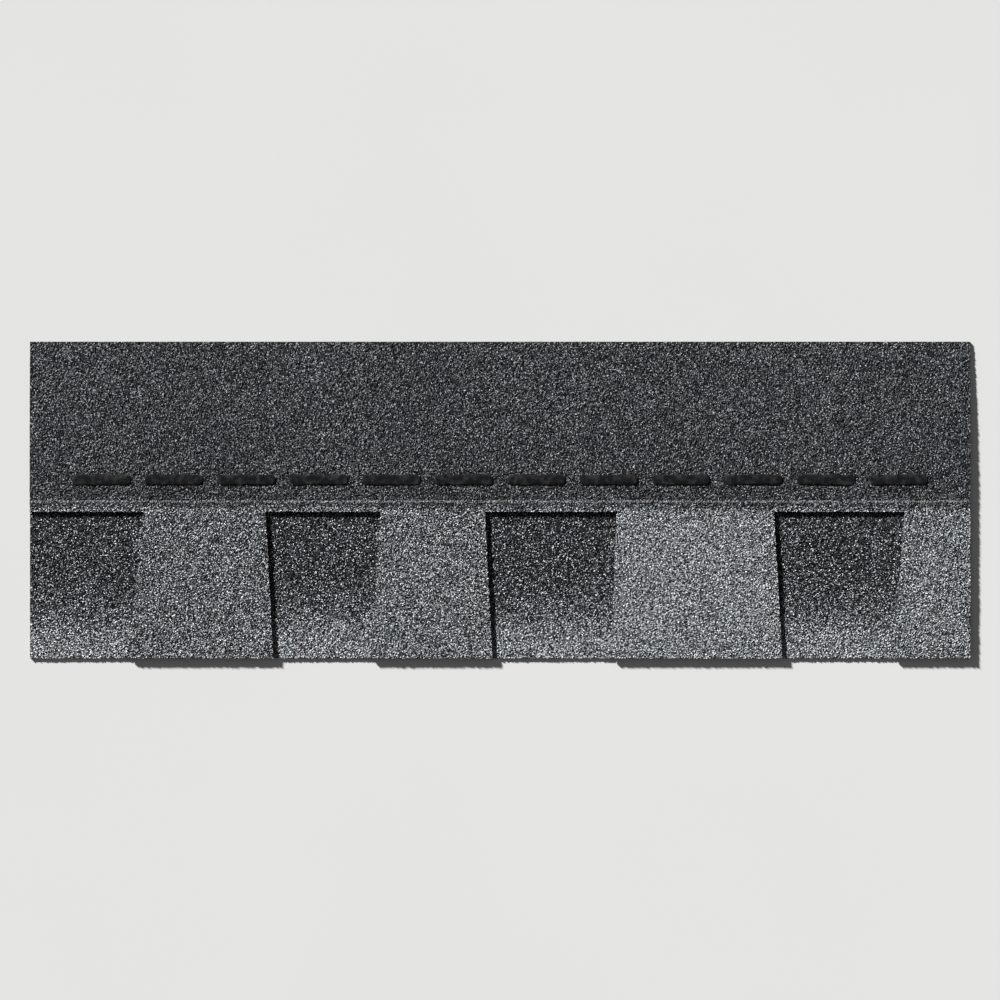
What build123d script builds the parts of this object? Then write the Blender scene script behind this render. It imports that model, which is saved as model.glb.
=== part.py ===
"""A laminated asphalt strip shingle for a pitched roof, lying face up on a level floor.

Two plies are cut from one sort of sheet: a glass mat coated on both sides with filled asphalt and
surfaced with stone granules. The top ply is the full height of the strip. Dovetailed teeth are die
cut along its lower half, and its upper half, the headlap, is covered by the next courses on a roof.
The backer strip lies under the teeth, shows between them and is flush with them at the butt edge.
Beads of laminating asphalt join the plies. Beyond the backer the headlap has only the floor to rest
on, so it droops to it in a long flat curve, as a strip laid down by hand does.

Lengths are in millimetres. The plan is first drawn with its corner at the left end of the butt edge,
+X along the strip and +Y up the slope, and each piece is then moved so that the origin is on the
floor under the middle of the strip.
"""

import math
import os
from itertools import cycle
from typing import NamedTuple

from build123d import *

# The strip
STRIP_LENGTH = 1000.0
STRIP_HEIGHT = 337.0
EXPOSURE = 143.0  # what a course shows on a roof

# The two plies, each measured over its granules, and the bond between them
TOOTH_PLY_THICKNESS = 2.8
BACKER_THICKNESS = 2.8
BOND_THICKNESS = 0.3

# The teeth: each notch runs up past the exposure, so that the next course hides its root. The die
# repeats these teeth without end, and the strip is sheared off it, through one notch on the left
# and through whatever its length reaches on the right
NOTCH_ABOVE_EXPOSURE = 13.0
END_GAP = 105.0  # what the left end leaves of the first notch, at the butt edge
TOOTH_WIDTHS = (154.0, 130.0, 182.0, 150.0)  # at the butt edge
GAP_WIDTHS = (103.0, 126.0, 118.0, 122.0)  # at the butt edge, after each of those teeth
LEFT_LEANS = (16.0, 11.0, 6.0, 12.0)  # how far each tooth's left edge comes in, butt to root
RIGHT_LEANS = (8.0, 8.0, 9.0, 8.0)
ROOT_RADIUS = 3.0
BUTT_CORNER_RADIUS = 1.5

# The backer strip goes this far past the notches, which is the double layer that the nails hold
COMMON_BOND_HEIGHT = 22.0

# Laminating beads: two rows under each tooth, and one along the whole common bond
BEAD_WIDTH = 10.0
BUTT_BEAD_INSET = 8.0
TOOTH_BEAD_SIDE_INSET = 12.0
BOND_BEAD_WIDTH = 14.0

# Self-sealing asphalt, a broken line on the face of the headlap, just past the common bond
SEAL_DASH_LENGTH = 62.0
SEAL_DASH_GAP = 15.0
SEAL_DASH_WIDTH = 12.0
SEAL_DASH_HEIGHT = 0.9
SEAL_DASH_CORNER_RADIUS = 4.0
SEAL_DASH_BEVEL = 0.4
SEAL_DASH_ABOVE_BOND = 6.0

# Release tape, pressed flush into the hot back coating of the backer strip
TAPE_WIDTH = 32.0
TAPE_THICKNESS = 0.1

notch_depth = EXPOSURE + NOTCH_ABOVE_EXPOSURE
backer_height = notch_depth + COMMON_BOND_HEIGHT
tooth_ply_base = BACKER_THICKNESS + BOND_THICKNESS
tooth_ply_face = tooth_ply_base + TOOTH_PLY_THICKNESS
seal_dash_low = backer_height + SEAL_DASH_ABOVE_BOND
seal_dash_high = seal_dash_low + SEAL_DASH_WIDTH

# In a bundle every second strip is turned end for end, so the tape meets the next strip's dashes here
tape_middle = STRIP_HEIGHT - (seal_dash_low + seal_dash_high) / 2

# The headlap's curve is an arc, level where the backer ends and down on the floor at the top edge
droop_run = STRIP_HEIGHT - backer_height
droop_radius = (droop_run**2 + tooth_ply_base**2) / (2 * tooth_ply_base)
droop_centre_z = tooth_ply_base - droop_radius

to_origin = Location((-STRIP_LENGTH / 2, -STRIP_HEIGHT / 2, 0))


class Tooth(NamedTuple):
    """Where a tooth's two edges are along the strip, at the butt edge and at the notch roots."""

    left_foot: float
    left_root: float
    right_foot: float
    right_root: float


def die_teeth():
    """The die's teeth, from the strip's left end to the first one that is past its right end."""
    teeth = []
    left = END_GAP
    for width, gap, left_lean, right_lean in cycle(
        zip(TOOTH_WIDTHS, GAP_WIDTHS, LEFT_LEANS, RIGHT_LEANS)
    ):
        right = left + width
        teeth.append(Tooth(left, left + left_lean, right, right - right_lean))
        if left > STRIP_LENGTH:
            return teeth
        left = right + gap


def headlap_face_z(y, rise):
    """Height of a surface that lies rise above the underside of the top ply, at y up the strip."""
    if y <= backer_height:
        return tooth_ply_base + rise
    return droop_centre_z + math.sqrt((droop_radius + rise) ** 2 - (y - backer_height) ** 2)


def drooping_layer(low_y, high_y, low_rise, high_rise):
    """A layer that follows the top ply's section between two heights above its underside."""

    def skin(rise):
        """Points of one skin, from low_y to high_y: start, start of the curve, middle of it, end."""
        bend = max(low_y, backer_height)
        places = [low_y, bend, (bend + high_y) / 2, high_y]
        return [(y, headlap_face_z(y, rise)) for y in places]

    under, over = skin(low_rise), skin(high_rise)
    with BuildPart() as layer:
        with BuildSketch(Plane.YZ):
            with BuildLine():
                for start, bend, middle, end in (under, over):
                    if start != bend:
                        Line(start, bend)
                    ThreePointArc(bend, middle, end)
                Line(under[0], over[0])
                Line(under[-1], over[-1])
            make_face()
        extrude(amount=STRIP_LENGTH)
    return layer.part


def notch_outline(before, after):
    """Plan of the notch between two teeth, open past the butt edge."""
    past_butt = -1.0
    return Polygon(
        (before.right_foot, past_butt),
        (before.right_foot, 0),
        (before.right_root, notch_depth),
        (after.left_root, notch_depth),
        (after.left_foot, 0),
        (after.left_foot, past_butt),
        align=None,
    )


def corners_at(outline, y):
    """The corners of the plan at y up the strip, apart from those on its sheared ends."""
    return outline.vertices().filter_by(
        lambda corner: abs(corner.Y - y) < 1e-6 and 0 < corner.X < STRIP_LENGTH
    )


def tooth_ply_outline():
    """Plan of the top ply: the whole strip, with its dovetailed notches cut out."""
    outline = Rectangle(STRIP_LENGTH, STRIP_HEIGHT, align=(Align.MIN, Align.MIN))
    past_end = -1.0
    before = Tooth(past_end, past_end, past_end, past_end)
    for after in die_teeth():
        outline -= notch_outline(before, after)
        before = after
    outline = fillet(corners_at(outline, notch_depth), ROOT_RADIUS)
    return fillet(corners_at(outline, 0), BUTT_CORNER_RADIUS)


def make_tooth_ply():
    """Top ply: teeth, common bond and headlap in one sheet, drooping past the backer."""
    sheet = drooping_layer(0, STRIP_HEIGHT, 0, TOOTH_PLY_THICKNESS)
    return sheet & extrude(tooth_ply_outline(), amount=tooth_ply_face)


def make_backer_strip():
    """Backer strip, with the shallow bed that the release tape is pressed into."""
    strip = Box(STRIP_LENGTH, backer_height, BACKER_THICKNESS, align=(Align.MIN,) * 3)
    return strip - make_release_tape()


def make_release_tape():
    """Release tape: a film along the whole back, flush with the sanded coating."""
    film = Box(STRIP_LENGTH, TAPE_WIDTH, TAPE_THICKNESS, align=(Align.MIN, Align.CENTER, Align.MIN))
    return Pos(0, tape_middle, 0) * film


def edge_at(foot, root, y):
    """Where a tooth's leaning edge is at y up the strip."""
    return foot + (root - foot) * y / notch_depth


def make_laminating_beads():
    """Beads of asphalt between the plies: two rows under the teeth, and one in the common bond."""
    beads = []
    for row in (BUTT_BEAD_INSET, (notch_depth - BEAD_WIDTH) / 2):
        row_top = row + BEAD_WIDTH
        for tooth in die_teeth():
            left = edge_at(tooth.left_foot, tooth.left_root, row_top) + TOOTH_BEAD_SIDE_INSET
            right = edge_at(tooth.right_foot, tooth.right_root, row_top)
            length = min(right, STRIP_LENGTH) - TOOTH_BEAD_SIDE_INSET - left
            if length > BEAD_WIDTH:
                bead = extrude(SlotOverall(length, BEAD_WIDTH), amount=BOND_THICKNESS)
                middle = (left + length / 2, row + BEAD_WIDTH / 2, BACKER_THICKNESS)
                beads.append(Pos(*middle) * bead)

    bond_row = (notch_depth + backer_height) / 2
    bond_bead = Box(
        STRIP_LENGTH, BOND_BEAD_WIDTH, BOND_THICKNESS, align=(Align.MIN, Align.CENTER, Align.MIN)
    )
    beads.append(Pos(0, bond_row, BACKER_THICKNESS) * bond_bead)
    return beads


def make_seal_dashes():
    """Self-sealing dashes, as many whole ones as the strip takes, seated on the headlap's curve."""
    middle_y = (seal_dash_low + seal_dash_high) / 2
    slope = math.asin((middle_y - backer_height) / (droop_radius + TOOTH_PLY_THICKNESS))
    sunk = TOOTH_PLY_THICKNESS / 2
    plan = RectangleRounded(SEAL_DASH_LENGTH, SEAL_DASH_WIDTH, SEAL_DASH_CORNER_RADIUS)
    dash = extrude(plan, amount=sunk + SEAL_DASH_HEIGHT)
    dash = chamfer(dash.faces().sort_by(Axis.Z)[-1].edges(), SEAL_DASH_BEVEL)
    dash = Rot(-math.degrees(slope), 0, 0) * Pos(0, 0, -sunk) * dash

    sheet = drooping_layer(0, STRIP_HEIGHT, 0, TOOTH_PLY_THICKNESS)
    face_z = headlap_face_z(middle_y, TOOTH_PLY_THICKNESS)
    pitch = SEAL_DASH_LENGTH + SEAL_DASH_GAP
    count = int((STRIP_LENGTH - SEAL_DASH_GAP) // pitch)
    first_x = (STRIP_LENGTH - (count - 1) * pitch) / 2
    return [Pos(first_x + number * pitch, middle_y, face_z) * dash - sheet for number in range(count)]


pieces = {
    "tooth_ply": [make_tooth_ply()],
    "backer_strip": [make_backer_strip()],
    "laminating_beads": make_laminating_beads(),
    "seal_dashes": make_seal_dashes(),
    "release_tape": [make_release_tape()],
}

os.makedirs("parts", exist_ok=True)
for name, shapes in pieces.items():
    solids = [solid.moved(to_origin) for shape in shapes for solid in shape.solids()]
    export_step(Compound(solids), f"parts/{name}.step")
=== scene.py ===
import math

import bpy
import numpy as np
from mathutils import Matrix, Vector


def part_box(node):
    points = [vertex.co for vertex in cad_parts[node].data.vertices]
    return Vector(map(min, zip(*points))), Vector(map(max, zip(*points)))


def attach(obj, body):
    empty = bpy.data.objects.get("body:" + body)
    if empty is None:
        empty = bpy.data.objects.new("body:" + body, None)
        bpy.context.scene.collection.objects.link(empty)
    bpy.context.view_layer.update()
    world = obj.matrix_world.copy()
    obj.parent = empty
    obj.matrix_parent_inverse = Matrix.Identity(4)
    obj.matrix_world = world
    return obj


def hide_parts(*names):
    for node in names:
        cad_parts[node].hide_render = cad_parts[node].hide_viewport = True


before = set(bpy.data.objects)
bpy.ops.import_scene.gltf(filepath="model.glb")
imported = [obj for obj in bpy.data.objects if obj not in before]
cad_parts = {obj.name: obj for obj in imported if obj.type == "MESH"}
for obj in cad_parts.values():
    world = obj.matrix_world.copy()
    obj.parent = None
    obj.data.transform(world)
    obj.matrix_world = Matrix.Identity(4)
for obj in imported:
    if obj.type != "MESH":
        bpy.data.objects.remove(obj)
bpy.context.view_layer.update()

MM = 0.001


# The backer strip is the lower of the two plies. It is a glass mat coated on both sides with filled
# asphalt and sheared to width, so its edges are clean and black and show the mat as a thin pale line.
# Its back is dusted with fine sand, and has a shallow bed that the release tape is pressed into.
GRANULE_COAT = 1.1 * MM
SHEET_SPACING = 5.0 * MM
SHEET_INSET = 0.15 * MM
BED_SLOPE = 0.05 * MM
MAT_RISE = 0.75 * MM
MAT_FADE = (0.05 * MM, 0.22 * MM)
SANDED_UP_TO = 0.12 * MM
SAND_GRAIN = 0.45 * MM
SAND_RELIEF = 0.16 * MM
COATING_RELIEF = 0.25 * MM
BLACK_ASPHALT = (0.010, 0.010, 0.011)
WORN_ASPHALT = (0.024, 0.023, 0.023)
SAND_COLOUR = (0.16, 0.145, 0.125)
MAT_COLOUR = (0.13, 0.12, 0.10)

backer_low, backer_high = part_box("backer_strip")
tape_low, tape_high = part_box("release_tape")
left_end, right_end = backer_low.x, backer_high.x
butt, backer_top_edge = backer_low.y, backer_high.y


class Value:
    """A socket of a finish. A sum of values adds its Math nodes to that finish."""

    def __init__(self, finish, socket):
        self.finish = finish
        self.socket = socket

    def output(self, name):
        """Another output of the node that this value comes from."""
        return Value(self.finish, self.socket.node.outputs[name])

    def math(self, operation, *terms):
        """The result of a Math node on these terms."""
        return self.finish.node("ShaderNodeMath", {"operation": operation}, terms)

    def __add__(self, other):
        return self.math("ADD", self, other)

    def __sub__(self, other):
        return self.math("SUBTRACT", self, other)

    def __rsub__(self, other):
        return self.math("SUBTRACT", other, self)

    def __mul__(self, other):
        return self.math("MULTIPLY", self, other)

    def __pow__(self, power):
        return self.math("POWER", self, power)

    def __abs__(self):
        return self.math("ABSOLUTE", self)

    __radd__ = __add__
    __rmul__ = __mul__

    def ramp(self, start, end):
        """Goes from 0 to 1 as this value goes from start to end, and levels off at both."""
        sockets = {"Value": self, "From Min": start, "From Max": end}
        return self.finish.node("ShaderNodeMapRange", {"interpolation_type": "SMOOTHSTEP"}, sockets)


class Finish:
    """The nodes of one material, or of the world. The owner is that material or world."""

    def __init__(self, name, kind="materials"):
        self.owner = getattr(bpy.data, kind).new(name)
        self.owner.use_nodes = True
        self.tree = self.owner.node_tree
        self.tree.nodes.clear()

    def node(self, kind, settings=None, sockets=(), output=0):
        """Adds a node, with its settings first, then the values or links of its sockets."""
        made = self.tree.nodes.new(kind)
        for name, setting in (settings or {}).items():
            if name == "stops":
                for number, (place, colour) in enumerate(setting):
                    ramp = made.color_ramp.elements
                    stop = ramp[number] if number < len(ramp) else ramp.new(place)
                    stop.position, stop.color = place, (*colour, 1.0)
            else:
                setattr(made, name, setting)
        for key, value in sockets.items() if isinstance(sockets, dict) else enumerate(sockets):
            if isinstance(value, Value):
                self.tree.links.new(value.socket, made.inputs[key])
            else:
                made.inputs[key].default_value = value
        return Value(self, made.outputs[output] if made.outputs else None)

    def mix(self, share, first, second, blend="MIX"):
        """A colour that goes from first to second, or to their blend, as share goes from 0 to 1."""
        colours = [c if isinstance(c, Value) else (*c, 1.0) for c in (first, second)]
        settings = {"data_type": "RGBA", "blend_type": blend}
        sockets = {0: share, 6: colours[0], 7: colours[1]}  # a Mix node's sockets for colours
        return self.node("ShaderNodeMix", settings, sockets, 2)

    def place(self):
        """Where a point of the surface is, in metres."""
        return self.node("ShaderNodeTexCoord", output="Object")

    def noise(self, size, detail=2.0, stretch=(1.0, 1.0, 1.0)):
        """A cloudy value from 0 to 1, with clouds of about this size in metres."""
        settings = {"operation": "MULTIPLY"}
        place = self.node("ShaderNodeVectorMath", settings, (self.place(), stretch))
        sockets = {"Vector": place, "Scale": 1.0 / size, "Detail": detail}
        return self.node("ShaderNodeTexNoise", {"noise_dimensions": "3D"}, sockets)

    def bump(self, height, strength=1.0):
        """A normal that is turned by a relief of this height in metres."""
        sockets = {"Height": height, "Distance": 1.0, "Strength": strength}
        return self.node("ShaderNodeBump", None, sockets)

    def surface(self, **sockets):
        """Ends the finish in one shader, with these of its sockets set or linked."""
        named = {
            name.replace("_", " ").title().replace("Ior", "IOR"): value
            for name, value in sockets.items()
        }
        shader = self.node("ShaderNodeBsdfPrincipled", None, named)
        self.node("ShaderNodeOutputMaterial", None, {"Surface": shader})


def coated_mat_finish():
    """Filled asphalt with a sanded back, which shows the mat as a pale line on its cut edges."""
    finish = Finish("coated_mat")
    rise = finish.node("ShaderNodeAttribute", {"attribute_name": "rise"}, output="Fac")
    grain = {"Vector": finish.place(), "Scale": 1.0 / SAND_GRAIN}
    sand = finish.node("ShaderNodeTexVoronoi", None, grain)
    sand_tone = finish.node("ShaderNodeSeparateColor", None, (sand.output("Color"),))
    back = 1.0 - rise.ramp(0.0, SANDED_UP_TO)
    speck = sand_tone.ramp(0.55, 1.0) * back * finish.noise(14 * MM, 4.0).ramp(0.3, 0.7)
    mat_line = 1.0 - abs(rise - MAT_RISE).ramp(*MAT_FADE)
    fibres = finish.noise(0.5 * MM).ramp(0.45, 0.6)
    asphalt = finish.mix(finish.noise(3 * MM, 4.0), BLACK_ASPHALT, WORN_ASPHALT)
    sanded = finish.mix(speck, asphalt, SAND_COLOUR)
    colour = finish.mix(mat_line * fibres * 0.5, sanded, MAT_COLOUR)
    grains = sand.output("Distance") * -SAND_RELIEF
    normal = finish.bump(grains + finish.noise(1.6 * MM, 5.0) * COATING_RELIEF, 0.7)
    roughness = 0.55 + 0.35 * speck
    finish.surface(base_color=colour, roughness=roughness, normal=normal, specular_ior_level=0.35)
    return finish.owner


def evenly(start, end, spacing):
    """Places from start to end, both included, about this far apart."""
    return np.linspace(start, end, max(2, round((end - start) / spacing) + 1))


def add_piece(name, points, faces, materials, slot, nodes, face_materials=None, **attributes):
    """Makes a mesh of the shingle, which rides with it and stands for these of its solids."""
    mesh = bpy.data.meshes.new(name)
    mesh.from_pydata(points, [], faces)
    for material in materials:
        mesh.materials.append(material)
    if face_materials is not None:
        mesh.polygons.foreach_set("material_index", np.asarray(face_materials, np.int32))
    for key, values in attributes.items():
        mesh.attributes.new(key, "FLOAT", "POINT").data.foreach_set("value", values)
    piece = bpy.data.objects.new(name, mesh)
    bpy.context.scene.collection.objects.link(piece)
    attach(piece, "root")
    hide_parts(*nodes)
    return piece


def solid_between(under, over, filled):
    """Points and faces of a closed solid between two skins, over the filled cells of their grid.

    The skins are arrays of rows by columns by three. Walls close every side of a filled cell that has
    no filled neighbour. The last thing returned is 0 for points of the lower skin, 1 for the others.
    """
    rows, columns = under.shape[:2]
    points = np.concatenate([under.reshape(-1, 3), over.reshape(-1, 3)])
    number = np.arange(rows * columns).reshape(rows, columns)
    upper = number + rows * columns
    faces = []
    padded = np.pad(filled, 1)
    for i, j in np.argwhere(filled):
        corners = [(i, j), (i, j + 1), (i + 1, j + 1), (i + 1, j)]
        faces.append([upper[c] for c in corners])
        faces.append([number[c] for c in reversed(corners)])
        for side, (di, dj) in enumerate([(-1, 0), (0, 1), (1, 0), (0, -1)]):
            if not padded[i + 1 + di, j + 1 + dj]:
                a, b = corners[side], corners[(side + 1) % 4]
                faces.append([number[a], number[b], upper[b], upper[a]])
    used = np.unique([n for face in faces for n in face])
    order = np.zeros(len(points), int)
    order[used] = np.arange(len(used))
    faces = [[int(order[n]) for n in face] for face in faces]
    return points[used], faces, (used >= rows * columns).astype(np.float32)


backer_x = evenly(left_end + SHEET_INSET, right_end - SHEET_INSET, SHEET_SPACING)
backer_y = np.concatenate([
    evenly(butt + SHEET_INSET, tape_low.y - BED_SLOPE, SHEET_SPACING),
    evenly(tape_low.y, tape_high.y, SHEET_SPACING),
    evenly(tape_high.y + BED_SLOPE, backer_top_edge - SHEET_INSET, SHEET_SPACING),
])
tape_bed = (backer_y >= tape_low.y) & (backer_y <= tape_high.y)
grid_y, grid_x = np.meshgrid(backer_y, backer_x, indexing="ij")
bed_z = np.broadcast_to(np.where(tape_bed, tape_high.z, 0.0)[:, None], grid_x.shape)
sheet_top = backer_high.z - GRANULE_COAT
backer_points, backer_faces, _ = solid_between(
    np.stack([grid_x, grid_y, bed_z], axis=-1),
    np.stack([grid_x, grid_y, np.full_like(grid_x, sheet_top)], axis=-1),
    np.ones((len(backer_y) - 1, len(backer_x) - 1), bool),
)
coated_mat = coated_mat_finish()
add_piece(
    "backer_sheet", backer_points, backer_faces, [coated_mat], "coated_mat", ["backer_strip"],
    rise=backer_points[:, 2].astype(np.float32),
)


# The release tape is a clear film along the back of the backer strip. It keeps the sealing asphalt
# of the next shingle in the bundle from sticking, and is pressed flush into the hot coating.
CLEAR_FILM = (0.05, 0.052, 0.056)
HAZY_FILM = (0.13, 0.135, 0.14)
CREASE_RELIEF = 0.4 * MM

tape_finish = Finish("release_film")
crease = tape_finish.noise(5 * MM, 3.0, stretch=(0.15, 1.0, 1.0))
haze = tape_finish.noise(22 * MM, 3.0, stretch=(0.3, 1.0, 1.0)).ramp(0.35, 0.7)
tape_finish.surface(
    base_color=tape_finish.mix(haze, CLEAR_FILM, HAZY_FILM),
    roughness=0.12 + 0.2 * haze,
    normal=tape_finish.bump(crease * CREASE_RELIEF, 0.6),
    coat_weight=0.6,
    coat_roughness=0.08,
)
release_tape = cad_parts["release_tape"]
release_tape.data.materials.clear()
release_tape.data.materials.append(tape_finish.owner)


# The backer's granules are bedded in its face. They show in the notches between the teeth, where
# the plant lays them dark near the notch's root and paler towards the butt, as a painted shadow.
GRANULE_SIZE = 0.9 * MM
GRANULE_TILT = 1.6
CREVICE_WIDTH = 0.13  # of a granule
CREVICE_DEPTH = 0.15 * MM
FACET_SIZE = 0.35 * MM
FACET_RELIEF = 0.06 * MM
GRANULE_SPACING = 1.0 * MM
COVERED_SPACING = 4.0 * MM
JITTER = 0.3  # of the spacing
DEEPEST_PIT = 1.0 * MM
# Pits deeper than this get darker, as painted shade, down to the deepest pit.
PIT_SHADE_START = 0.55 * MM
BROKEN_EDGE = 0.45 * MM
COAT_OVERLAP = 0.1 * MM
NOTCH_DEPTH = 156.0 * MM
END_GAP = 105.0 * MM
TOOTH_WIDTHS = (154.0 * MM, 130.0 * MM, 182.0 * MM, 82.0 * MM)
GAP_WIDTHS = (103.0 * MM, 126.0 * MM, 118.0 * MM, 0.0)
LEFT_LEANS = (16.0 * MM, 11.0 * MM, 6.0 * MM, 12.0 * MM)
RIGHT_LEANS = (8.0 * MM, 8.0 * MM, 9.0 * MM, 0.0)
TUCKED_UNDER = 5.0 * MM
PAST_ROOT = 3.0 * MM
SHADE_START = 13.0 * MM
SHADE_END = 102.0 * MM
BUTT_DARKNESS = 0.68  # a power of each granule's lot, and the higher it is, the fewer pale ones
ROOT_DARKNESS = 3.28
SEED = 7

# The black of the bare asphalt between the granules, which also serves as painted shade in their
# crevices and deep pits.
ASPHALT_AND_PIT_SHADE = (0.006, 0.006, 0.007)
LINE_PAINT = (0.36, 0.37, 0.37)
WARM_CAST, COOL_CAST = (1.03, 1.0, 0.96), (0.98, 1.0, 1.05)
GLAZE_CAST = (0.86, 1.0, 1.03)
PIGMENTS = [
    (0.00, (0.005, 0.005, 0.005)),
    (0.22, (0.023, 0.024, 0.026)),
    (0.45, (0.092, 0.096, 0.102)),
    (0.66, (0.325, 0.338, 0.356)),
    (0.83, (0.650, 0.670, 0.695)),
    (1.00, (0.930, 0.950, 0.970)),
]

notch_root = butt + NOTCH_DEPTH
edge_feet, edge_roots = [left_end], [left_end]
tooth_left = left_end + END_GAP
for width, gap, left_lean, right_lean in zip(TOOTH_WIDTHS, GAP_WIDTHS, LEFT_LEANS, RIGHT_LEANS):
    edge_feet += [tooth_left, tooth_left + width]
    edge_roots += [tooth_left + left_lean, tooth_left + width - right_lean]
    tooth_left += width + gap

draw = np.random.default_rng(SEED)


def granule_finish(name, pick, paint=None):
    """Crushed stone in a ceramic glaze, set close in asphalt, with each granule tilted its own way.

    Pick is a function of the finish and of each granule's lot, a number from 0 to 1, and gives the
    granule's place on the ramp of pigments. Paint is one for how much of the tops is painted.
    """
    finish = Finish(name)
    sockets = {"Vector": finish.place(), "Scale": 1.0 / GRANULE_SIZE}
    cell = finish.node("ShaderNodeTexVoronoi", None, sockets)
    edge = finish.node("ShaderNodeTexVoronoi", {"feature": "DISTANCE_TO_EDGE"}, sockets)
    lot = finish.node("ShaderNodeSeparateColor", None, (cell.output("Color"),))
    blend = finish.node("ShaderNodeValToRGB", {"stops": PIGMENTS}, (pick(finish, lot),))
    glazed = lot.output("Blue").ramp(0.55, 0.9) * finish.noise(45 * MM, 2.0).ramp(0.42, 0.62)
    cast = finish.mix(finish.noise(9 * MM), WARM_CAST, COOL_CAST)
    pigment = finish.mix(1.0, blend, finish.mix(glazed, cast, GLAZE_CAST), "MULTIPLY")
    # The crevices between granules and the deepest pits are darkened towards black. This is partly the
    # bare asphalt that shows there, and partly painted shade where the granules shadow each other.
    crevice = 1.0 - edge.ramp(0.0, CREVICE_WIDTH)
    pit = finish.node("ShaderNodeAttribute", {"attribute_name": "depth"}, output="Fac")
    bare_and_shaded = crevice.math("MAXIMUM", crevice * 0.85, pit.ramp(PIT_SHADE_START, DEEPEST_PIT))
    colour = finish.mix(bare_and_shaded, pigment, ASPHALT_AND_PIT_SHADE)
    if paint:
        colour = finish.mix(paint(finish) * (1.0 - 0.8 * bare_and_shaded), colour, LINE_PAINT)

    subtract = {"operation": "SUBTRACT"}
    away = finish.node("ShaderNodeVectorMath", subtract, (finish.place(), cell.output("Position")))
    lean = finish.node("ShaderNodeVectorMath", subtract, (cell.output("Color"), (0.5, 0.5, 0.5)))
    tilt = finish.node("ShaderNodeVectorMath", {"operation": "DOT_PRODUCT"}, (away, lean), "Value")
    facets = finish.noise(FACET_SIZE, 1.0) * FACET_RELIEF
    normal = finish.bump(GRANULE_TILT * tilt - crevice * CREVICE_DEPTH + facets)
    roughness = 0.65 + 0.3 * lot.output("Green")
    finish.surface(base_color=colour, roughness=roughness, normal=normal, specular_ior_level=0.25)
    return finish.owner


def granule_depths(shape):
    """How far each point of a coat lies below its highest granules. Shallow ones are commoner."""
    return DEEPEST_PIT * draw.random(shape) ** 1.2


def coat_block(grid, base_z):
    """Points and faces of a closed coat, from the grid of its face to the heights of its underside."""
    rows, columns = grid.shape[:2]
    number = np.arange(rows * columns).reshape(rows, columns)
    a, b = number[:-1, :-1].ravel(), number[:-1, 1:].ravel()
    d, c = number[1:, :-1].ravel(), number[1:, 1:].ravel()
    turned = draw.random(len(a)) < 0.5
    first = np.where(turned[:, None], np.stack([a, b, d], 1), np.stack([a, b, c], 1))
    second = np.where(turned[:, None], np.stack([b, c, d], 1), np.stack([a, c, d], 1))
    faces = np.concatenate([first, second]).tolist()

    front, right = number[0, :], number[:, -1]
    back, left = number[-1, ::-1], number[::-1, 0]
    ring = np.concatenate([front[:-1], right[:-1], back[:-1], left[:-1]])
    low = np.arange(len(ring)) + rows * columns
    step = np.roll(low, -1)
    faces += np.stack([low, step, np.roll(ring, -1), ring], 1).tolist()

    side = {int(top): int(bottom) for top, bottom in zip(ring, low)}
    lefts, rights = [side[n] for n in number[:, 0]], [side[n] for n in number[:, -1]]
    faces.append([side[n] for n in front[::-1]] + [lefts[1], rights[1]])
    faces.append([rights[-2], lefts[-2]] + [side[n] for n in number[-1, :]])
    faces += [[lefts[i], lefts[i + 1], rights[i + 1], rights[i]] for i in range(1, rows - 2)]

    under = grid.reshape(-1, 3)[ring].copy()
    under[:, 2] = base_z.ravel()[ring]
    return np.concatenate([grid.reshape(-1, 3), under]), faces


def join_blocks(blocks):
    """Points and faces of several blocks as one mesh, and which block each face is from."""
    points, faces, whose = [], [], []
    start = 0
    for number, (block_points, block_faces) in enumerate(blocks):
        points.append(block_points)
        faces += [[n + start for n in face] for face in block_faces]
        whose += [number] * len(block_faces)
        start += len(block_points)
    return np.concatenate(points), faces, whose


def ragged(places, low, high):
    """Places along a cut edge, moved in from low or high by what the broken granules leave."""
    bite = BROKEN_EDGE * draw.random(places.shape)
    return np.where(places <= low, low + bite, np.where(places >= high, high - bite, places))


def up_from(finish, start):
    """How far up the strip a point is from this place."""
    return finish.node("ShaderNodeSeparateXYZ", None, (finish.place(),), "Y") - start


def wander(finish, size, reach, detail=3.0):
    """A length that goes up to half of reach to either side, in clouds of this size."""
    return (finish.noise(size, detail) - 0.5) * reach


def patchy(finish, darkness, size, strength=0.3):
    """A darkness that is a little more or less in soft patches of this size."""
    return darkness * ((1.0 + strength / 2) - strength * finish.noise(size, 3.0))


def notch_pick(finish, lot):
    """Mostly dark near the notch's root, with more and more pale granules towards the butt edge."""
    up = up_from(finish, butt) + wander(finish, 28 * MM, 30 * MM)
    darkness = BUTT_DARKNESS + (ROOT_DARKNESS - BUTT_DARKNESS) * up.ramp(SHADE_START, SHADE_END)
    return lot ** patchy(finish, darkness, 9 * MM)


def backer_coat(name, spans, rows, spacing, material):
    """Coats on the backer's face between pairs of places along it, over rows of places up it."""
    blocks = []
    for low_x, high_x in spans:
        row_y, column_x = np.meshgrid(rows, evenly(low_x, high_x, spacing), indexing="ij")
        shift = JITTER * GRANULE_SPACING * (2 * draw.random((2, *row_y.shape)) - 1)
        shift[:, [0, -1], :] = 0
        shift[:, :, [0, -1]] = 0
        x = ragged(column_x + shift[0], left_end, right_end)
        y = ragged(row_y + shift[1], butt, backer_top_edge)
        z = backer_high.z - granule_depths(x.shape)
        base_z = np.full(x.shape, sheet_top - COAT_OVERLAP)
        blocks.append(coat_block(np.stack([x, y, z], -1), base_z))
    points, faces, _ = join_blocks(blocks)
    depth = (backer_high.z - points[:, 2]).astype(np.float32)
    add_piece(name, points, faces, [material], "backer_granules", ["backer_strip"], depth=depth)


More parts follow.
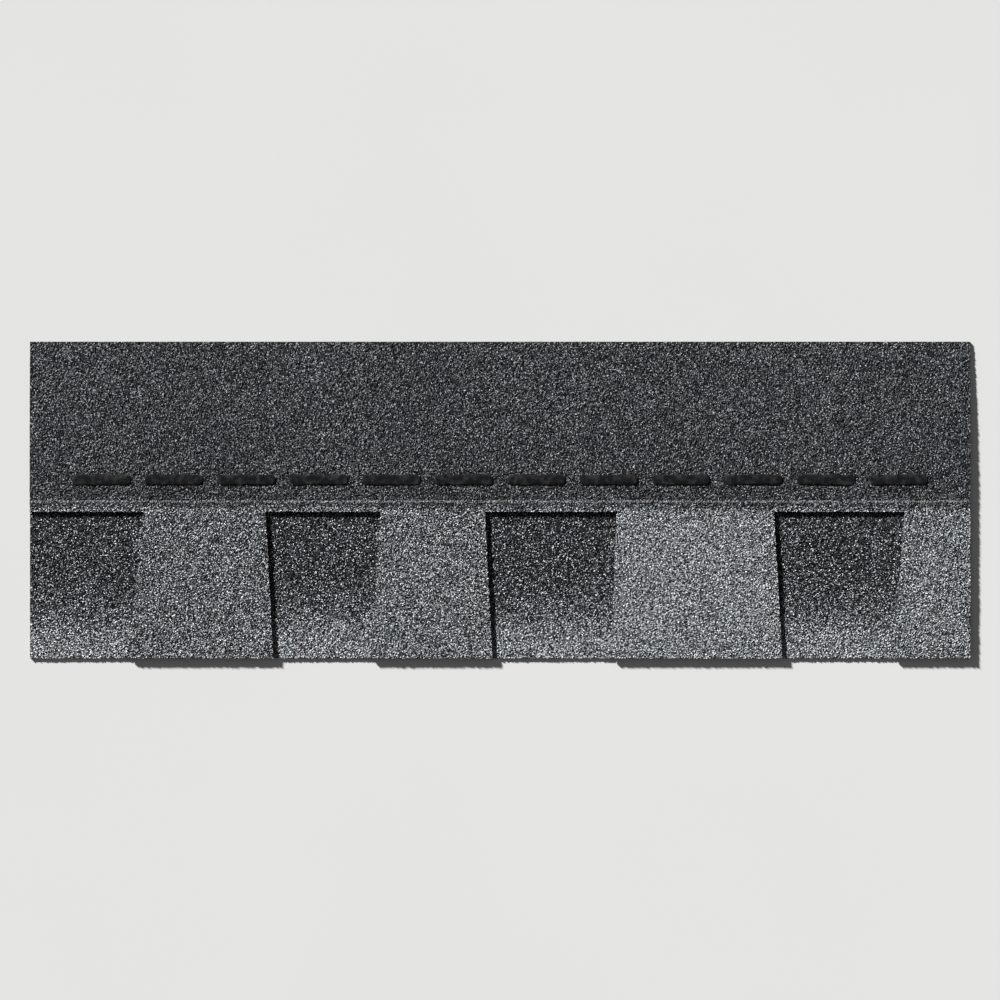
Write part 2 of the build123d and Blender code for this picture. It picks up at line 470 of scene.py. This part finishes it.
notch_finish = granule_finish("notch_granules", notch_pick)
covered_from = notch_root + PAST_ROOT
notch_spans, covered_spans = [], []
covered_x = right_end
for number in reversed(range(0, len(edge_feet) - 1, 2)):
    low_x = max(left_end, min(edge_feet[number], edge_roots[number]) - TUCKED_UNDER)
    high_x = max(edge_feet[number + 1], edge_roots[number + 1]) + TUCKED_UNDER
    notch_spans.append((low_x, high_x))
    covered_spans.append((high_x, covered_x))
    covered_x = low_x
notch_rows = evenly(butt, covered_from, GRANULE_SPACING)
backer_coat("notch_granules", notch_spans, notch_rows, GRANULE_SPACING, notch_finish)


# The same coat runs on under the teeth and up to the backer's top edge, where the laminating beads
# lie on it. Only its edges show there, along the butt edge and at the right end of the strip.
covered_rows = evenly(butt, covered_from, COVERED_SPACING)
backer_coat("covered_granules", covered_spans, covered_rows, COVERED_SPACING, notch_finish)
bonded_rows = evenly(covered_from, backer_top_edge, COVERED_SPACING)
backer_coat("bonded_granules", [(left_end, right_end)], bonded_rows, COVERED_SPACING, notch_finish)


# Beads of hot laminating asphalt join the plies. They are pressed flat between them, in two rows
# under each tooth and along the whole of the band above the notches.
FRESH_ASPHALT = (0.006, 0.006, 0.007)
DULLED_ASPHALT = (0.014, 0.013, 0.013)
BEAD_RELIEF = 0.3 * MM

bead_finish = Finish("laminating_asphalt")
bead_finish.surface(
    base_color=bead_finish.mix(bead_finish.noise(6 * MM), FRESH_ASPHALT, DULLED_ASPHALT),
    roughness=0.2 + 0.25 * bead_finish.noise(4 * MM, 3.0),
    normal=bead_finish.bump(bead_finish.noise(2 * MM, 4.0) * BEAD_RELIEF),
)
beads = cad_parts["laminating_beads"]
beads.data.materials.clear()
beads.data.materials.append(bead_finish.owner)


# The top ply is one coated mat, like the backer, as high as the whole strip. The teeth are die cut
# along its lower half. Past the backer it droops to the floor in a long flat curve.
ply_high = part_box("tooth_ply")[1]
top_edge = ply_high.y
ply_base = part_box("laminating_beads")[1].z
ply_thickness = ply_high.z - ply_base
droop_run = top_edge - backer_top_edge
droop_radius = (droop_run**2 + ply_base**2) / (2 * ply_base)


def ply_z(y, rise):
    """Height of a surface of the top ply that lies rise above its underside, at y up the strip."""
    past = np.maximum(y - backer_top_edge, 0.0)
    return ply_base - droop_radius + np.sqrt((droop_radius + rise) ** 2 - past**2)


def leaning_columns(spacing):
    """Column places at the butt and at the notch roots, and the numbers of those on tooth edges."""
    feet, roots, on_edge = [], [], []
    for start in range(len(edge_feet) - 1):
        end = start + 1
        count = max(2, round((edge_feet[end] - edge_feet[start]) / spacing))
        on_edge.append(len(feet))
        feet += list(np.linspace(edge_feet[start], edge_feet[end], count, endpoint=False))
        roots += list(np.linspace(edge_roots[start], edge_roots[end], count, endpoint=False))
    on_edge.append(len(feet))
    return np.array([*feet, edge_feet[-1]]), np.array([*roots, edge_roots[-1]]), on_edge


def leaning_x(feet, roots, y):
    """Where each column is in each row: leaning as far as the notch root, and straight above it."""
    share = np.clip((y - butt) / NOTCH_DEPTH, 0, 1)
    return feet + (roots - feet) * share[:, None]


sheet_feet, sheet_roots, sheet_edges = leaning_columns(SHEET_SPACING)
sheet_y = np.concatenate([
    evenly(butt + SHEET_INSET, notch_root, SHEET_SPACING),
    evenly(notch_root, top_edge - SHEET_INSET, SHEET_SPACING)[1:],
])
sheet_x = leaning_x(sheet_feet, sheet_roots, sheet_y)
sheet_x = np.clip(sheet_x, left_end + SHEET_INSET, right_end - SHEET_INSET)
in_notch = np.zeros(sheet_x.shape[1] - 1, bool)
for number in range(0, len(sheet_edges) - 1, 2):
    in_notch[sheet_edges[number]:sheet_edges[number + 1]] = True
below_root = sheet_y[:-1] < notch_root - SHEET_INSET
row_y = np.broadcast_to(sheet_y[:, None], sheet_x.shape)
core_rise = ply_thickness - GRANULE_COAT
ply_points, ply_faces, upper_skin = solid_between(
    np.stack([sheet_x, row_y, ply_z(row_y, 0.0)], -1),
    np.stack([sheet_x, row_y, ply_z(row_y, core_rise)], -1),
    ~(below_root[:, None] & in_notch[None, :]),
)
add_piece(
    "top_sheet", ply_points, ply_faces, [coated_mat], "coated_mat", ["tooth_ply"],
    rise=(upper_skin * core_rise).astype(np.float32),
)


# The granules on the teeth are the colour blend that shows on the roof. Each tooth comes from one
# drop of the blend, so it has its own tone, with soft patches in it and granules broken at its edges.
HEADLAP_SPACING = 1.6 * MM
NAIL_ZONE = 44.0 * MM
TOOTH_DARKNESSES = (1.23, 1.05, 0.68, 0.86)

ply_feet, ply_roots, ply_edges = leaning_columns(GRANULE_SPACING)
tooth_rows = evenly(butt, notch_root, GRANULE_SPACING)
zone_rows = evenly(notch_root, notch_root + NAIL_ZONE, GRANULE_SPACING)
headlap_rows = evenly(notch_root + NAIL_ZONE, top_edge, HEADLAP_SPACING)
ply_rows = np.concatenate([tooth_rows, zone_rows[1:], headlap_rows[1:]])
root_row, zone_row = len(tooth_rows) - 1, len(tooth_rows) + len(zone_rows) - 2

ply_x = leaning_x(ply_feet, ply_roots, ply_rows)
ply_y = np.broadcast_to(ply_rows[:, None], ply_x.shape).copy()
shift = JITTER * GRANULE_SPACING * (2 * draw.random((2, *ply_x.shape)) - 1)
shift[0][:, [0, -1]] = 0
shift[1][[0, -1], :] = 0
ply_x = ragged(ply_x + shift[0], left_end, right_end)
ply_y = ragged(ply_y + shift[1], butt, top_edge)
ply_depth = granule_depths(ply_x.shape)
ply_face = np.stack([ply_x, ply_y, ply_z(ply_y, ply_thickness) - ply_depth], -1)
ply_coat_base = ply_z(ply_y, core_rise - COAT_OVERLAP)


def coat_piece(name, rows, columns, materials, slot):
    """A coat on the top ply over a span of its rows, as one block for each of these column spans.

    The blocks take the materials in turn, or share the only one.
    """
    blocks = [coat_block(ply_face[rows, span], ply_coat_base[rows, span]) for span in columns]
    points, faces, whose = join_blocks(blocks)
    whose = np.array(whose) % len(materials)
    depth = (ply_z(points[:, 1], ply_thickness) - points[:, 2]).astype(np.float32)
    add_piece(name, points, faces, materials, slot, ["tooth_ply"], whose, depth=depth)


def tooth_pick(darkness):
    """The blend of one tooth, with soft patches. The darker it is, the fewer pale granules it has."""
    return lambda finish, lot: lot ** patchy(finish, darkness, 30 * MM)


stretches = [slice(start, end + 1) for start, end in zip(ply_edges, ply_edges[1:])]
tooth_finishes = [
    granule_finish(f"tooth_granules_{number + 1}", tooth_pick(darkness))
    for number, darkness in enumerate(TOOTH_DARKNESSES)
]
tooth_stretches = stretches[1::2]
coat_piece(
    "tooth_granules", slice(0, root_row + 1), tooth_stretches, tooth_finishes, "tooth_granules"
)


# Above the notches the two plies are bonded right across, which is where the nails go. The coat
# changes there from the colour blend to plain dark granules, and a thin painted line marks the band.
NAIL_LINE = 11.0 * MM
NAIL_LINE_WIDTH = 2.2 * MM
NAIL_LINE_WANDER = 1.5 * MM
BLEND_END = 10.0 * MM
BLEND_DARKNESS = 0.95
HEADLAP_DARKNESS = 1.6
HEADLAP_PALEST = 0.74


def headlap_pick(finish, lot):
    """Plain dark granules, none of them pale, with faint clouds."""
    return HEADLAP_PALEST * lot ** patchy(finish, HEADLAP_DARKNESS, 24 * MM, 0.4)


def zone_pick(finish, lot):
    """From the colour blend at the notch roots to the dark granules of the headlap."""
    up = up_from(finish, notch_root) + wander(finish, 12 * MM, 14 * MM, 4.0)
    above = up.ramp(0.0, BLEND_END)
    palest = 1.0 - (1.0 - HEADLAP_PALEST) * above
    return palest * lot ** (BLEND_DARKNESS + (HEADLAP_DARKNESS - BLEND_DARKNESS) * above)


def nail_line(finish):
    """A thin painted line, worn through between the granules and in places along it."""
    up = up_from(finish, notch_root + NAIL_LINE) + wander(finish, 4 * MM, NAIL_LINE_WANDER, 2.0)
    painted = 1.0 - abs(up).ramp(0.38 * NAIL_LINE_WIDTH, 0.62 * NAIL_LINE_WIDTH)
    return painted * finish.noise(3 * MM, 3.0).ramp(0.32, 0.52)


zone_finish = granule_finish("nail_zone_granules", zone_pick, nail_line)
coat_piece(
    "nail_zone_granules", slice(root_row, zone_row + 1), stretches, [zone_finish], "headlap_granules"
)


# The headlap is covered by the next courses, so its granules are plain dark stone. It is the same
# coat as below it, and runs on over the droop to the top edge.
headlap_finish = granule_finish("headlap_granules", headlap_pick)
coat_piece(
    "headlap_granules", slice(zone_row, None), stretches, [headlap_finish], "headlap_granules"
)


# Dashes of self-sealing asphalt lie on the headlap in a broken line. They are laid hot from a wheel,
# so each is a low mound with round ends and an edge that wandered as it spread. Talc dulls them, and
# the sun later softens them and sticks them to the next course.
DASH_PITCH = 77.0 * MM
DASH_LENGTH = 62.0 * MM
DASH_HEIGHT = 0.75 * MM
DASH_END_RADIUS = 5.0 * MM
DASH_EDGE_BITE = 0.9 * MM
DASH_SAG = 0.25  # of the height
DASH_SUNK = 0.5 * MM
DASH_STATIONS = 73
SKIN_RELIEF = 0.5 * MM
SEALANT_BLACK = (0.007, 0.007, 0.008)
TALC_GREY = (0.034, 0.034, 0.035)

dash_low, dash_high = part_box("seal_dashes")
dash_middle, dash_half_width = (dash_low.y + dash_high.y) / 2, (dash_high.y - dash_low.y) / 2
stations = np.sin(np.linspace(-math.pi / 2, math.pi / 2, DASH_STATIONS))
along = DASH_LENGTH / 2 * stations
across, run = np.meshgrid(stations[::6], along, indexing="ij")
into_end = np.clip(1 + (np.abs(run) - DASH_LENGTH / 2) / DASH_END_RADIUS, 0, 1)
dash_blocks = []
for first_x in np.arange(dash_low.x + DASH_LENGTH / 2, dash_high.x, DASH_PITCH):
    bites = [np.interp(along, along[::4], draw.random(len(along[::4]))) for side in range(2)]
    bite = DASH_EDGE_BITE * np.where(across < 0, bites[0], bites[1])
    reach = dash_half_width - bite - DASH_END_RADIUS * (1 - np.sqrt(1 - into_end**2))
    y = dash_middle + across * reach
    crown = 1 - DASH_SAG * np.interp(run, along[::8], draw.random(len(along[::8])))
    mound = crown * np.sqrt((1 - across**4) * (1 - into_end**4))
    face_z = ply_z(y, ply_thickness)
    grid = np.stack([first_x + run, y, face_z + DASH_HEIGHT * mound], -1)
    dash_blocks.append(coat_block(grid, face_z - DASH_SUNK))
dash_points, dash_faces, _ = join_blocks(dash_blocks)

seal_finish = Finish("sealing_asphalt")
talc = seal_finish.noise(7 * MM, 5.0).ramp(0.42, 0.72)
seal_finish.surface(
    base_color=seal_finish.mix(talc, SEALANT_BLACK, TALC_GREY),
    roughness=0.78 + 0.2 * talc,
    normal=seal_finish.bump(seal_finish.noise(2.5 * MM, 4.0) * SKIN_RELIEF),
    specular_ior_level=0.1,
)
seal_dashes = add_piece(
    "seal_dash_mounds", dash_points, dash_faces, [seal_finish.owner], "sealing_asphalt",
    ["seal_dashes"],
)
seal_dashes.data.shade_smooth()


# A plain pale floor, a low key light from the upper left that rakes over the granules, and an even
# pale sky that fills the shadows. The camera looks straight down through a long lens.
KEY_ELEVATION = math.radians(20)
KEY_AZIMUTH = math.radians(45)
KEY_ANGLE = math.radians(5)
KEY_SHARE = 0.9
FILL_SHARE = 0.1
BACKGROUND = 0.85
FLOOR_REACH = 8.0
FLOOR_DROP = 0.1 * MM
FLOOR_CLOUDS = 0.4
FLOOR_TONES = (0.76, 0.76, 0.755), (0.79, 0.79, 0.785)
FRAME_WIDTH = 1.064
LENS = 140.0
SENSOR = 36.0

floor_finish = Finish("floor")
floor_tone = floor_finish.mix(floor_finish.noise(FLOOR_CLOUDS, 3.0), *FLOOR_TONES)
floor_finish.surface(base_color=floor_tone, roughness=0.9, specular_ior_level=0.1)
floor_mesh = bpy.data.meshes.new("floor")
floor_corners = [
    (x * FLOOR_REACH, y * FLOOR_REACH, -FLOOR_DROP) for x, y in ((-1, -1), (1, -1), (1, 1), (-1, 1))
]
floor_mesh.from_pydata(floor_corners, [], [(0, 1, 2, 3)])
floor_mesh.materials.append(floor_finish.owner)
floor = bpy.data.objects.new("floor", floor_mesh)
bpy.context.scene.collection.objects.link(floor)

key = bpy.data.lights.new("key", "SUN")
key.energy = KEY_SHARE * math.pi / math.sin(KEY_ELEVATION)
key.angle = KEY_ANGLE
key_light = bpy.data.objects.new("key", key)
key_light.rotation_euler = (0, math.pi / 2 - KEY_ELEVATION, math.pi - KEY_AZIMUTH)
bpy.context.scene.collection.objects.link(key_light)

sky = Finish("sky", "worlds")
seen = sky.node("ShaderNodeLightPath", output="Is Camera Ray")
brightness = FILL_SHARE + (BACKGROUND - FILL_SHARE) * seen
sky_light = sky.node("ShaderNodeBackground", None, {"Color": (1, 1, 1, 1), "Strength": brightness})
sky.node("ShaderNodeOutputWorld", None, {"Surface": sky_light})
bpy.context.scene.world = sky.owner

camera = bpy.data.objects.new("camera", bpy.data.cameras.new("camera"))
camera.data.lens = LENS
camera.data.sensor_width = SENSOR
camera.location = (0, 0, FRAME_WIDTH * LENS / SENSOR)
bpy.context.scene.collection.objects.link(camera)
bpy.context.scene.camera = camera
bpy.context.scene.view_settings.view_transform = "Standard"
